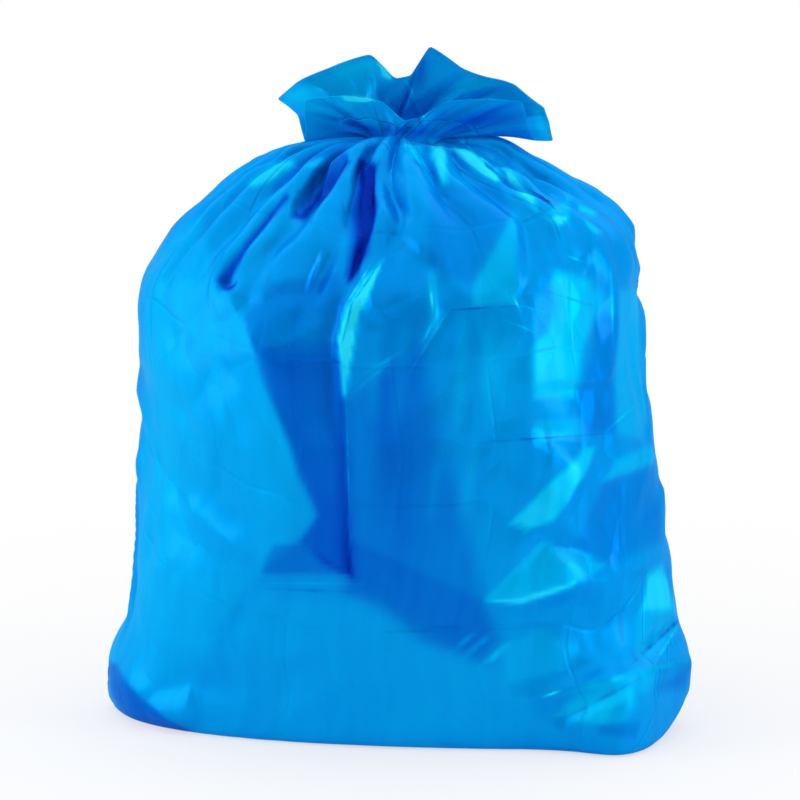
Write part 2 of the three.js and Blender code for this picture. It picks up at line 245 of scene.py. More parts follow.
def lineDistance(x, y, line):  # signed distance to a line, positive on its right, and share along it
    best = np.full(x.shape, 1e9)
    along = np.zeros(x.shape)
    spans = list(zip(line[:-1], line[1:]))
    lengths = [math.dist(*span) for span in spans]
    gone = 0.0
    for ((startX, startY), (endX, endY)), length in zip(spans, lengths):
        goX, goY = (endX - startX) / length, (endY - startY) / length
        share = np.clip((x - startX) * goX + (y - startY) * goY, 0, length)
        offX, offY = x - startX - share * goX, y - startY - share * goY
        far = np.hypot(offX, offY)
        side = np.where(goX * offY - goY * offX > 0, -1.0, 1.0)
        nearer = far < np.abs(best)
        best = np.where(nearer, far * side, best)
        along = np.where(nearer, (gone + share) / sum(lengths), along)
        gone += length
    return best, along


def foldProfile(away, share, left, right):  # straight flanks that meet in a slightly rounded edge
    radius = foldShape["round"]
    flank = 1 - (np.sqrt(away**2 + radius**2) - radius) / np.where(away > 0, right, left)
    ends = 1 - foldShape["ends"] * np.abs(2 * share - 1) ** 3
    return ends * np.clip(flank, 0, 1) ** foldShape["sharpness"]


def frontRelief(points, facing):
    x, y = photoPlace(points)
    relief = np.zeros(x.shape)
    for line, left, right, tall in frontFolds:
        away, share = lineDistance(x, y, line)
        relief += tall * foldProfile(away, share, left, right)
    return relief * smooth(facing, *foldShape["facing"])


def backRelief(angle, height, radius):
    relief = 0 * angle
    for turn, span, width, depth in backFolds:
        share = (height - span[0]) / (span[1] - span[0])
        along = np.clip(share, 0, 1)
        towards = np.radians(turn[0] + (turn[1] - turn[0]) * along - 90)
        across = (np.mod(angle - towards + math.pi, 2 * math.pi) - math.pi) * radius
        past = (share - along) * (span[1] - span[0])
        ends = 1 - foldShape["backEnds"] * np.abs(2 * along - 1) ** 3
        tail = bell(past, width * foldShape["backTail"])
        relief = relief + depth * ends * bell(across, width) * tail
    return relief


def gatherRelief(angle, height, width, depth):
    outline = np.array([ellipseLength(w, d) for w, d in zip(width[:, 0], depth[:, 0])])[:, None]
    spare = np.maximum(sack["girth"] / outline - 1, 0)
    pitch = outline / sack["pleats"]
    share, most = sack["pleatHeight"]
    tall = pitch * np.minimum(share * np.sqrt(spare), most)
    below, vary = sack["pleatEnd"]
    start = sections[-1][0] - below + vary * wander(angle * 2, 1)
    fade = smooth(height, start - vary, start + vary)
    phase = sack["pleats"] * (angle + sack["pleatDrift"] * wander(angle, 4)) / 2
    towards = np.radians(sack["smoother"][0])
    calm = 1 - sack["smoother"][1] * bell(np.sin((angle - towards) / 2), sack["smootherReach"])
    return tall * calm * fade * (np.abs(np.sin(phase)) - 2 / math.pi)


def evenRings(points):  # spreads each ring's points evenly along its front and back halves
    half = points.shape[1] // 2
    columns = sack["columns"] // 2
    rings = []
    for ring in points:
        ring = np.vstack([ring, ring[:1]])
        halves = []
        for part in (ring[: half + 1], ring[half:]):
            gone = np.concatenate([[0], np.cumsum(np.linalg.norm(np.diff(part, axis=0), axis=1))])
            at = np.linspace(0, gone[-1], columns + 1)[:-1]
            halves.append(np.stack([np.interp(at, gone, part[:, axis]) for axis in range(3)], -1))
        rings.append(np.vstack(halves))
    return np.array(rings)


def evenColumns(points, count):  # spreads each column's points evenly along its length
    columns = []
    for column in points.transpose(1, 0, 2):
        gone = np.concatenate([[0], np.cumsum(np.linalg.norm(np.diff(column, axis=0), axis=1))])
        at = np.linspace(0, gone[-1], count)
        columns.append(np.stack([np.interp(at, gone, column[:, axis]) for axis in range(3)], -1))
    return np.array(columns).transpose(1, 0, 2)


def bodyForm(count):  # from the bottom seam to the tie
    around, up, across = sack["formGrid"]
    turns = np.arange(around) / around * 2 * math.pi
    angle, step = np.meshgrid(turns, np.linspace(0, len(sections) - 1, up))
    wall, size = wallPoints(angle, step)
    height, width, depth = size
    sideways = np.roll(wall, -1, 1) - np.roll(wall, 1, 1)
    normal = np.cross(sideways, np.gradient(wall, axis=0))
    normal /= np.linalg.norm(normal, axis=-1, keepdims=True)
    relief = backRelief(angle, height, (width + depth) / 4)
    relief += gatherRelief(angle, height, width, depth)
    climb = 2 * math.pi * height / sack["lumpHeight"]
    lumps = wander(angle, climb / 3) + 0.4 * np.sin(climb + 4 * angle)
    relief += sack["lumps"] * smooth(height, *sack["lumpFade"]) * lumps
    wall = wall + normal * (relief * smooth(height, *sack["reliefFade"]))[..., None]
    heel = wall[0]
    heelHeight, turn = sections[0][0], math.radians(sections[0][4])
    centre = heel.mean(0)
    seamWay = np.array([math.cos(turn), math.sin(turn), 0])
    seam = centre + ((heel - centre) @ seamWay)[:, None] * seamWay
    reach = np.linalg.norm((heel - seam)[:, :2], axis=1)
    corner = np.where((heel - centre) @ seamWay < 0, *sack["cornerLift"])
    lift = heelHeight * np.clip(1 - reach / corner, 0, 1) ** 2
    base = []
    for share in np.linspace(0, 1, across)[:-1]:
        ring = seam + (heel - seam) * share
        bend = np.clip(1 - (1 - share) * reach / np.minimum(sack["heelRound"], reach + 1e-6), 0, 1)
        ring[:, 2] = lift + (heelHeight - lift) * (1 - np.sqrt(1 - bend**2))
        base.append(ring)
    return evenColumns(evenRings(np.concatenate([np.array(base), wall])), count)


def mouthForm(foot, count):  # from the tie to the rim
    share = np.arange(sack["columns"]) / sack["columns"]
    known = np.array([row[0] for row in rimPoints] + [1.0])
    place = np.array([row[1:] for row in rimPoints] + [rimPoints[0][1:]], float)
    rim = np.stack([np.interp(share, known, place[:, axis]) for axis in range(3)], -1)
    rim = rim + foot.mean(0) + np.array([0, 0, mouthShape["rimLift"]])
    rows = []
    knee = foot + (rim - foot) * mouthShape["knee"]
    front, more = mouthShape["kneeLift"]
    knee[:, 2] += front + more * smooth(rim[:, 1], *mouthShape["kneeBack"])
    for flare in np.linspace(0, 1, count + 1)[1:]:
        row = foot * (1 - flare) ** 2 + 2 * knee * flare * (1 - flare) + rim * flare**2
        ripple = np.sin(mouthShape["ripples"] * 2 * math.pi * share + mouthShape["rippleTurn"] * flare)
        row[:, 1] += mouthShape["rippleHeight"] * math.sin(math.pi * flare) * ripple
        rows.append(row)
    return np.array(rows)


def filmMesh(form):  # a grid welded into a tube, and along the bottom seam
    rows, columns = form.shape[:2]
    mesh = bmesh.new()
    mesh.loops.layers.uv.new("film")
    bmesh.ops.create_grid(mesh, x_segments=columns, y_segments=rows - 1, size=0.5, calc_uvs=True)
    mesh.verts.ensure_lookup_table()
    order = sorted(mesh.verts, key=lambda v: (round(v.co.y, 6), round(v.co.x, 6)))
    slots = [order[row * (columns + 1) : (row + 1) * (columns + 1)] for row in range(rows)]
    weld = {}
    for row in range(rows):
        weld[slots[row][columns]] = slots[row][0]
        for column in range(columns):
            slots[row][column].co = form[row, column] / 1000
    for column in range(1, columns // 2):
        weld[slots[0][columns - column]] = slots[0][column]
    index = [[weld.get(vert, vert) for vert in line[:columns]] for line in slots]
    bmesh.ops.weld_verts(mesh, targetmap=weld)
    mesh.verts.index_update()
    index = np.array([[vert.index for vert in line] for line in index])
    return mesh, index


bodyRows = round(sack["rows"] * sack["neckAt"] / sack["length"])
body = bodyForm(bodyRows + 1)
mouth = mouthForm(body[-1], sack["rows"] - bodyRows)
form = np.concatenate([body, mouth])
form[..., :2] += sack["shift"]
print("form of", form.shape[0], "rings")
mesh, index = filmMesh(form)
bmesh.ops.recalc_face_normals(mesh, faces=mesh.faces)
data = bpy.data.meshes.new("filmSack")
mesh.to_mesh(data)
mesh.free()
bag = bpy.data.objects.new("filmSack", data)
scene.collection.objects.link(bag)
print("film faces", len(data.polygons))

simulation = {
    "frames": 24,
    "quality": 5,
    "mass": 0.02,
    "stiffness": 80.0,
    "shear": 40.0,
    "bending": 0.004,
    "damping": 0.1,
    "pressure": 2.0,
    "spare": (0.08, 0.08, 0.0),  # share by which the film is larger than its form
    "hold": 0.04,  # how firmly the wall keeps to its form
    "holdMouth": 0.25,
    "holdRim": 0.8,
    "moveLimit": 22.0,  # millimetres
    "evenTimes": 150,  # steps of evening out that find the swelling
    "seed": 2.5,  # millimetres of unevenness that the wrinkles start from
    "seedCells": 28,  # of it to a metre
    "seedAbove": 0.004,  # metres, below which the film stays even
    "tieReach": 14,  # millimetres above and below the tie that are held
    "holdFloor": 0.9,
    "floorHeight": 3,  # millimetres up to which the film counts as lying on the floor
}


def unevenness(points):  # smooth, fixed noise
    cells = [Vector(point) * simulation["seedCells"] for point in points]
    starts = [Vector((7 * axis, 3, 5)) for axis in range(3)]
    return np.array([[noise.noise(cell + start) for start in starts] for cell in cells])


def holdGroup():
    hold = bag.vertex_groups.new(name="hold")
    rows = len(form)
    for row in range(rows):
        tie = float(bell(row / (rows - 1) * sack["length"] - sack["neckAt"], simulation["tieReach"]))
        least = simulation["hold"]
        if row > bodyRows:
            least = simulation["holdMouth"]
        if row == rows - 1:
            least = simulation["holdRim"]
        for column in range(sack["columns"]):
            lies = simulation["holdFloor"] * float(form[row, column, 2] < simulation["floorHeight"])
            hold.add([int(index[row, column])], min(max(least, tie, lies), 1.0), "REPLACE")


def spread(field, times):  # evens out a field over the film, round the tube and along it
    for step in range(times):
        ends = np.concatenate([field[:1], field, field[-1:]])
        beside = ends[:-2] + ends[2:] + np.roll(field, 1, 1) + np.roll(field, -1, 1)
        field = 0.2 * field + 0.2 * beside
    return field


def simulate():
    start = np.array([vert.co[:] for vert in data.vertices])
    start += unevenness(start) * simulation["seed"] / 1000 * (start[:, 2:] > simulation["seedAbove"])
    data.vertices.foreach_set("co", start.ravel())
    holdGroup()
    bag.shape_key_add(name="form", from_mix=False)
    larger = bag.shape_key_add(name="larger", from_mix=False)
    larger.data.foreach_set("co", (start * (1 + np.array(simulation["spare"]))).ravel())
    cloth = bag.modifiers.new("Cloth", "CLOTH")
    values = cloth.settings
    values.quality = simulation["quality"]
    values.mass = simulation["mass"]
    values.tension_stiffness = simulation["stiffness"]
    values.compression_stiffness = simulation["stiffness"]
    values.shear_stiffness = simulation["shear"]
    values.bending_stiffness = simulation["bending"]
    values.tension_damping = simulation["damping"]
    values.compression_damping = simulation["damping"]
    values.shear_damping = simulation["damping"]
    values.bending_damping = simulation["damping"] / 10
    values.air_damping = simulation["damping"]
    values.rest_shape_key = larger
    values.use_pressure = True
    values.uniform_pressure_force = simulation["pressure"]
    values.vertex_group_mass = "hold"
    values.pin_stiffness = 1.0
    values.effector_weights.gravity = 0
    cloth.collision_settings.use_collision = False
    cloth.point_cache.frame_start = 1
    cloth.point_cache.frame_end = simulation["frames"]
    for step in range(1, simulation["frames"] + 1):
        scene.frame_set(step)
    done = bag.evaluated_get(bpy.context.evaluated_depsgraph_get()).to_mesh()
    moved = np.array([vert.co[:] for vert in done.vertices]) - start
    scene.frame_set(1)
    bag.modifiers.remove(cloth)
    bag.vertex_groups.clear()
    bag.shape_key_clear()
    swollen = spread(moved[index], simulation["evenTimes"])
    for row, line in enumerate(index):
        moved[line] -= swollen[row]  # keeps the wrinkles and leaves the swelling out
    far = np.linalg.norm(moved, axis=1)
    print("wrinkled by", far.mean() * 1000, "mm, at most", far.max() * 1000)
    limit = simulation["moveLimit"] / 1000
    moved *= (limit * np.tanh(far / limit) / np.maximum(far, 1e-9))[:, None]
    place = start + moved
    place[:, 2] = np.maximum(place[:, 2], 0)
    data.vertices.foreach_set("co", place.ravel())
    data.update()


simulate()


def lineMouth(wall):  # turns the rim in and runs down the inside of the mouth to the tie
    mesh = bmesh.new()
    mesh.from_mesh(data)
    mesh.verts.ensure_lookup_table()
    mesh.normal_update()
    rows = range(len(index) - 1, bodyRows, -2)
    rings = [[mesh.verts[number] for number in index[row]] for row in rows]
    places = [[vert.co - vert.normal * wall for vert in ring] for ring in rings]
    edges = [edge for edge in mesh.edges if edge.is_boundary]
    order = {vert: slot for slot, vert in enumerate(rings[0])}
    for ring in places:
        grown = bmesh.ops.extrude_edge_only(mesh, edges=edges)["geom"]
        edges = [part for part in grown if isinstance(part, bmesh.types.BMEdge) and part.is_boundary]
        fresh = {}
        for vert in [part for part in grown if isinstance(part, bmesh.types.BMVert)]:
            beside = [edge.other_vert(vert) for edge in vert.link_edges]
            fresh[vert] = next(order[old] for old in beside if old in order)
        for vert, slot in fresh.items():
            vert.co = ring[slot]
        order = fresh
    middle = sum((vert.co for vert in order), Vector()) / len(order)
    bmesh.ops.pointmerge(mesh, verts=list(order), merge_co=middle)
    mesh.to_mesh(data)
    mesh.free()


lineMouth(sack["wall"] / 1000)
print("mouth lined")
for face in data.polygons:
    face.use_smooth = True
finer = bag.modifiers.new("Finer", "SUBSURF")
finer.levels = finer.render_levels = 1
smoothed = bpy.data.meshes.new_from_object(bag.evaluated_get(bpy.context.evaluated_depsgraph_get()))
bag.modifiers.remove(finer)
bag.data = smoothed
data = smoothed
data.name = "filmSack"


creases = {  # small creases all over the film, in millimetres
    "seed": 5,
    "count": 170,
    "along": (170.0, 790.0),  # from the bottom seam
    "lean": 30.0,  # usual lean from upright, in degrees
    "length": (60.0, 230.0),
    "flank": (5.0, 36.0),
    "tall": (1.5, 5.5),
    "margin": 50,  # round a crease, past which it is left out of the sum
    "calm": 0.5,  # how much lower they are on the front, which has folds of its own
    "facing": (0.1, 0.5),  # how far the front reaches round
    "pleats": (47, 1.7, 690.0),  # how many fine pleats at the tie, their height and where they start
    "pleatFade": 90,
    "pleatDrift": (0.12, 50),  # round the sack in radians, and along it
    "floorFade": (0.0, 0.02),  # heights in metres over which all relief sets in
    "tieFade": (0.572, 0.582),  # and dies away
}


def scatteredRelief(across, along):
    draw = np.random.default_rng(creases["seed"])
    relief = np.zeros(across.shape)
    for number in range(creases["count"]):
        x = np.mod(across - draw.uniform(0, sack["girth"]), sack["girth"]) - sack["girth"] / 2
        y = along - draw.uniform(*creases["along"])
        lean = math.radians(draw.normal(0, creases["lean"]))
        half = draw.uniform(*creases["length"]) / 2
        left, right = draw.uniform(*creases["flank"], 2)
        tall = draw.uniform(*creases["tall"]) * draw.choice((-1, 1))
        end = (half * math.sin(lean), half * math.cos(lean))
        reach = half + creases["margin"]
        near = (np.abs(x) < reach) & (np.abs(y) < reach)
        away, share = lineDistance(x[near], y[near], ((-end[0], -end[1]), end))
        relief[near] += tall * foldProfile(away, share, left, right)
    return relief


def finePleats(across, along):
    count, tall, start = creases["pleats"]
    phase = across / sack["girth"] * 2 * math.pi
    aside, ahead = creases["pleatDrift"]
    folds = np.abs(np.sin(count / 2 * (phase + aside * wander(phase, 2)))) - 2 / math.pi
    shown = smooth(along + ahead * wander(2 * phase, 5), start, start + creases["pleatFade"])
    return tall * folds * shown


def filmPlace():  # where each point lies on the flat film, in millimetres round it and along it
    flat = np.zeros((len(data.vertices), 2))
    corners = np.zeros(len(data.loops), int)
    data.loops.foreach_get("vertex_index", corners)
    places = np.zeros(len(data.loops) * 2)
    data.uv_layers["film"].data.foreach_get("uv", places)
    flat[corners] = places.reshape(-1, 2)
    return flat[:, 0] * sack["girth"], flat[:, 1] * sack["length"]


def creaseFilm():
    places = np.array([vert.co[:] for vert in data.vertices])
    normals = np.array([vert.normal[:] for vert in data.vertices])
    across, along = filmPlace()
    relief = frontRelief(places * 1000, -normals[:, 1])
    calm = 1 - creases["calm"] * smooth(-normals[:, 1], *creases["facing"])
    relief += calm * scatteredRelief(across, along) + finePleats(across, along)
    tied = smooth(places[:, 2], *creases["tieFade"])
    relief *= smooth(places[:, 2], *creases["floorFade"]) * (1 - tied) / 1000
    places += normals * relief[:, None]
    data.vertices.foreach_set("co", places.ravel())
    data.update()


lightAndLayerLines = [  # painted highlights and shade, and paler and darker film where it lies single or double, as lines on the photograph: points, reaches as for the folds, amount
    (((395, 250), (385, 420), (410, 560)), 60, 90, -0.24),
    (((230, 262), (270, 225), (310, 190)), 40, 40, 0.14),
    (((160, 290), (165, 470), (150, 640)), 50, 70, 0.2),
    (((430, 122), (525, 117)), 18, 20, -0.6),
    (((535, 105), (545, 138)), 9, 9, 0.4),
    (((440, 78), (500, 90)), 16, 14, 0.35),
    (((424, 55), (418, 90)), 7, 9, -0.5),
    (((284, 98), (308, 90)), 12, 12, 0.35),
    (((315, 127), (380, 130)), 12, 10, -0.5),
    (((330, 72), (378, 62)), 14, 10, 0.3),
    (((345, 98), (378, 100)), 3, 3, 0.9),
    (((380, 72), (392, 79)), 5, 5, 0.9),
    (((375, 130), (440, 133)), 8, 10, -0.6),
    (((500, 330), (500, 402)), 34, 34, 0.2),
    (((464, 322), (456, 432)), 9, 9, 0.22),
    (((490, 318), (486, 430)), 10, 8, 0.2),
    (((441, 440), (430, 520)), 7, 7, 0.2),
    (((474, 448), (462, 520)), 10, 8, 0.18),
    (((405, 330), (398, 420)), 9, 9, 0.16),
    (((378, 330), (372, 420)), 8, 8, 0.2),
    (((432, 272), (435, 332)), 6, 6, 0.5),
]

lightAndLayerPatches = [  # painted highlights, reflections and shade, with a little paler film, as above but with clear edges: corners, softness of the edge, amount
    (((142, 262), (200, 214), (217, 282), (246, 312), (270, 345), (290, 430), (318, 512), (300, 537),
      (262, 572), (120, 566), (140, 470)), 5, 0.16),
    (((120, 566), (262, 572), (232, 612), (200, 665), (190, 720), (150, 694), (118, 664),
      (104, 660)), 9, 0.2),
    (((272, 284), (340, 272), (346, 300), (338, 343), (300, 339), (268, 346), (250, 316)), 6, -0.3),
    (((250, 316), (268, 346), (300, 339), (340, 343), (346, 400), (352, 580), (325, 563), (304, 538),
      (318, 512), (290, 430)), 3, -0.45),
    (((262, 336), (285, 352), (318, 350), (352, 360), (356, 580), (325, 563), (304, 538), (318, 512),
      (290, 430)), 9, -0.2),
    (((278, 540), (304, 540), (330, 563), (345, 575), (320, 574), (263, 572)), 4, -0.42),
    (((344, 400), (420, 345), (440, 440), (470, 540), (484, 600), (500, 640), (480, 664), (420, 643),
      (380, 610), (344, 592)), 12, -0.34),
    (((352, 540), (483, 600), (498, 640), (480, 664), (420, 643), (380, 610), (347, 597)), 4, -0.14),
    (((483, 599), (538, 541), (566, 552), (607, 565), (572, 582), (520, 602)), 3, 0.38),
    (((483, 599), (520, 594), (570, 579), (572, 583), (520, 604)), 2, 0.5),
    (((648, 572), (662, 566), (672, 590), (676, 612), (640, 612), (645, 598)), 3, 0.8),
    (((594, 447), (580, 447), (545, 480), (508, 523), (524, 530), (548, 520), (572, 480)), 3, 0.7),
    (((597, 481), (613, 460), (648, 447), (655, 460), (630, 472)), 3, 0.4),
    (((600, 484), (656, 464), (662, 540), (610, 565), (572, 545)), 6, -0.25),
    (((552, 278), (557, 270), (593, 280), (601, 297), (600, 313), (582, 347), (573, 397), (532, 397),
      (527, 367), (528, 347), (547, 330), (552, 310)), 5, 0.6),
    (((533, 420), (578, 418), (580, 436), (533, 440)), 4, 0.35),
    (((601, 318), (613, 318), (613, 433), (582, 433), (578, 397)), 5, -0.3),
    (((512, 216), (516, 304), (472, 306), (474, 285), (496, 248)), 4, 0.4),
    (((429, 189), (501, 187), (512, 211), (491, 248), (470, 285), (429, 268)), 5, -0.22),
    (((405, 144), (420, 143), (429, 173), (408, 160)), 3, 0.6),
    (((429, 139), (443, 141), (449, 184), (444, 188), (432, 160)), 3, 0.8),
    (((453, 147), (469, 155), (477, 165), (501, 181), (496, 184), (472, 170), (459, 160)), 2, 0.9),
    (((504, 171), (515, 181), (533, 203), (536, 213), (520, 198), (509, 185)), 2, 0.9),
    (((544, 219), (571, 192), (569, 221), (557, 228)), 3, 0.4),
    (((548, 222), (568, 218), (566, 224), (556, 229)), 2, 0.6),
    (((579, 204), (597, 211), (595, 215), (580, 209)), 2, 0.7),
    (((586, 221), (601, 231), (598, 234), (587, 226)), 2, 0.7),
    (((249, 182), (275, 163), (293, 160), (296, 166), (270, 182), (252, 188)), 3, 0.7),
    (((305, 166), (322, 157), (328, 160), (318, 168)), 2, 0.5),
    (((287, 190), (290, 197), (250, 243), (226, 284), (236, 283), (233, 291), (219, 289), (217, 280),
      (240, 240)), 3, -0.9),
    (((345, 152), (352, 160), (333, 186), (302, 218), (292, 216), (318, 185)), 3, -0.9),
    (((360, 158), (380, 160), (378, 205), (369, 253), (348, 283), (345, 273), (350, 219)), 4, -0.98),
    (((370, 138), (340, 150), (300, 165), (280, 175), (310, 155), (345, 140)), 3, -0.4),
    (((381, 261), (378, 273), (358, 317), (348, 393), (345, 393), (338, 340), (345, 310),
      (363, 280)), 2.5, 1.1),
    (((106, 660), (118, 664), (150, 694), (196, 736), (150, 728), (122, 716)), 3, -0.55),
    (((650, 668), (690, 662), (686, 688), (655, 690)), 4, -0.4),
    (((563, 702), (633, 690), (640, 705), (620, 727), (570, 722)), 5, 0.25),
    (((597, 724), (640, 722), (636, 738), (600, 734)), 4, -0.35),
    (((262, 590), (347, 600), (420, 646), (500, 670), (560, 740), (360, 748), (190, 736),
      (205, 660)), 12, 0.12),
    (((555, 717), (576, 696), (637, 671), (687, 663), (670, 680), (617, 704), (604, 725)), 4, 0.3),
    (((502, 647), (539, 630), (580, 647), (563, 671), (506, 684)), 5, 0.2),
    (((637, 614), (674, 614), (680, 630), (646, 663), (635, 647)), 4, 0.3),
    (((616, 290), (638, 290), (647, 400), (642, 440), (615, 433)), 4, 0.3),
    (((280, 98), (340, 62), (380, 60), (384, 84), (350, 110), (306, 112)), 6, 0.25),
]

backTone = {
    "share": 0.4,  # how strong the fainter copy of the painted highlights and shade on the back is against the front's
    "lower": 30.0,  # how far they are shifted along the sack, in pixels of the photograph
    "edge": (0.03, 0.3),  # how far to the front or back the film has to face
}


def patchShare(x, y, corners, soft):
    inside = np.zeros(x.shape, bool)
    for (startX, startY), (endX, endY) in zip(corners, corners[1:] + corners[:1]):
        crossed = (startY > y) != (endY > y)
        inside ^= crossed & (x < (endX - startX) * (y - startY) / (endY - startY or 1) + startX)
    away, share = lineDistance(x, y, corners + corners[:1])
    return smooth(np.where(inside, 1, -1) * np.abs(away), -soft, soft)


# sums the painted highlights and shade with the paler and darker film
def lightAndLayerToneAt(x, y):
    tone = np.zeros(x.shape)
    for line, left, right, amount in lightAndLayerLines:
        away, share = lineDistance(x, y, line)
        tone += amount * foldProfile(away, share, left, right)
    for corners, soft, amount in lightAndLayerPatches:
        tone += amount * patchShare(x, y, corners, soft)
    return np.clip(tone, -1, 1)


# paints highlights and shade, with paler and darker film, into the tone attribute
def paintLightAndLayers():  # the front as the photograph shows it, and on the back a fainter copy of it
    places = np.array([vert.co[:] for vert in data.vertices])
    normals = np.array([vert.normal[:] for vert in data.vertices])
    outward = places[:, 1] / np.maximum(np.hypot(places[:, 0], places[:, 1]), 1e-6)
    facing = -np.minimum(normals[:, 1], outward)
    x, y = photoPlace(places * 1000)
    tone = lightAndLayerToneAt(x, y) * smooth(facing, *backTone["edge"])
    behind = smooth(-facing, *backTone["edge"])
    tone += lightAndLayerToneAt(x, y + backTone["lower"]) * behind * backTone["share"]
    data.attributes.new("tone", "FLOAT", "POINT").data.foreach_set("value", tone)


paintLightAndLayers()
creaseFilm()
print("creased", len(data.polygons), "faces")


film = {
    # the ramp runs from painted deep shade in creases and valleys, through blues that stand for painted
    # shade and highlights as well as film lying double or single, to painted glints
    "deepBlue": (0.0, 0.02, 0.36),
    "darkBlue": (0.0, 0.083, 0.58),
    "blue": (0.0, 0.295, 0.79),
    "paleBlue": (0.0, 0.5, 0.92),
    "glint": (0.02, 0.72, 1.0),
    "stops": (0.12, 0.5, 0.8),  # places of the three blues between the ends of the ramp
    "cloud": 0.4,  # how much the tone wanders
    "cloudCells": (6.0, 4.0),  # to a metre, and detail
    "cloudRange": (0.3, 0.7),  # values of that noise between which the roughness changes
    "grain": 0.22,  # how much the tone changes from streak to streak
    "edge": (0.0, 0.8, 1.0),  # tint at a grazing view
    "metal": 0.35,
    "roughness": (0.34, 0.46),
    "gloss": 0.06,
    "glossRoughness": 0.1,
    "glossIndex": 1.35,
    "panels": (16, 7.5),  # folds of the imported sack, round the film and along it
    "foldWidth": 0.03,  # share of a panel
    "foldDepth": 0.0008,  # heights of the fine relief in metres
    "foldRange": (0.42, 0.6),  # values of the cloud noise between which the folds set in
    "crumple": ((9.0, 0.01), (26.0, 0.0036)),  # cells to a metre, height
    "crumpleStretch": (1, 1, 0.6),
    "crumpleBend": (5.0, 0.02),  # cells to a metre, and how far the facets are bent
    "streak": 0.0006,
    "streakCells": (88, 6, 1),  # round the whole film and along it
    "strokeReach": 0.66,  # half length of a thin crease's lens shape, as a share of its span
    "strokeGain": 1.7,  # makes up for its thin ends
    "strokeFacing": (0.0, 0.2),  # how far to the front the film has to face
    "ragged": (60.0, 2.0),  # cells to a metre, and detail, of what breaks the thin creases up
    "raggedRange": (0.3, 0.7, 0.2, 1.0),  # values of that noise, and the share of a crease they leave
}


def mathNode(tree, operation, *values):
    node = tree.nodes.new("ShaderNodeMath")
    node.operation = operation
    for socket, value in zip(node.inputs, values):
        if isinstance(value, (int, float)):
            socket.default_value = value
        else:
            tree.links.new(value, socket)
    return node.outputs[0]


def noiseNode(tree, place, scale, detail):
    node = tree.nodes.new("ShaderNodeTexNoise")
    node.inputs["Scale"].default_value = scale
    node.inputs["Detail"].default_value = detail
    tree.links.new(place, node.inputs["Vector"])
    return node.outputs["Fac"]


def rangeNode(tree, value, low, high, toLow, toHigh):
    node = tree.nodes.new("ShaderNodeMapRange")
    node.interpolation_type = "SMOOTHSTEP"
    for name, number in (("From Min", low), ("From Max", high), ("To Min", toLow), ("To Max", toHigh)):
        node.inputs[name].default_value = number
    tree.links.new(value, node.inputs["Value"])
    return node.outputs["Result"]


def scaledPlace(tree, place, scale):
    node = tree.nodes.new("ShaderNodeMapping")
    node.inputs["Scale"].default_value = scale
    tree.links.new(place, node.inputs["Vector"])
    return node.outputs["Vector"]


def packingFolds(tree, place):  # thin lines where the flat sack was folded for packing
    parts = tree.nodes.new("ShaderNodeSeparateXYZ")
    tree.links.new(place, parts.inputs["Vector"])
    lines = []
    for axis, count in zip("XY", film["panels"]):
        share = mathNode(tree, "PINGPONG", mathNode(tree, "MULTIPLY", parts.outputs[axis], count), 0.5)
        lines.append(rangeNode(tree, share, 0.0, film["foldWidth"], 1.0, 0.0))
    return mathNode(tree, "MAXIMUM", *lines)


def crumpleNode(tree, place, scale):  # flat facets that meet in creases
    node = tree.nodes.new("ShaderNodeTexVoronoi")
    node.feature = "DISTANCE_TO_EDGE"
    node.inputs["Scale"].default_value = scale
    tree.links.new(place, node.inputs["Vector"])
    return node.outputs["Distance"]


def streakNode(tree, coords):  # fine streaks along the film
    return noiseNode(tree, scaledPlace(tree, coords.outputs["UV"], film["streakCells"]), 1.0, 3.0)


def filmRelief(tree, coords, cloudy, streaks):
    warp = tree.nodes.new("ShaderNodeVectorMath")
    warp.operation = "MULTIPLY_ADD"
    bend = tree.nodes.new("ShaderNodeTexNoise")
    cells, far = film["crumpleBend"]
    bend.inputs["Scale"].default_value = cells
    tree.links.new(coords.outputs["Object"], bend.inputs["Vector"])
    tree.links.new(bend.outputs["Color"], warp.inputs[0])
    warp.inputs[1].default_value = (far, far, far)
    tree.links.new(coords.outputs["Object"], warp.inputs[2])
    shown = rangeNode(tree, cloudy, *film["foldRange"], 0, film["foldDepth"])
    height = mathNode(tree, "MULTIPLY", packingFolds(tree, coords.outputs["UV"]), shown)
    height = mathNode(tree, "SUBTRACT", mathNode(tree, "MULTIPLY", streaks, film["streak"]), height)
    for scale, tall in film["crumple"]:
        facets = crumpleNode(tree, scaledPlace(tree, warp.outputs[0], film["crumpleStretch"]), scale)
        height = mathNode(tree, "ADD", height, mathNode(tree, "MULTIPLY", facets, tall))
    bump = tree.nodes.new("ShaderNodeBump")
    bump.inputs["Distance"].default_value = 1.0
    tree.links.new(height, bump.inputs["Height"])
    return bump.outputs["Normal"]


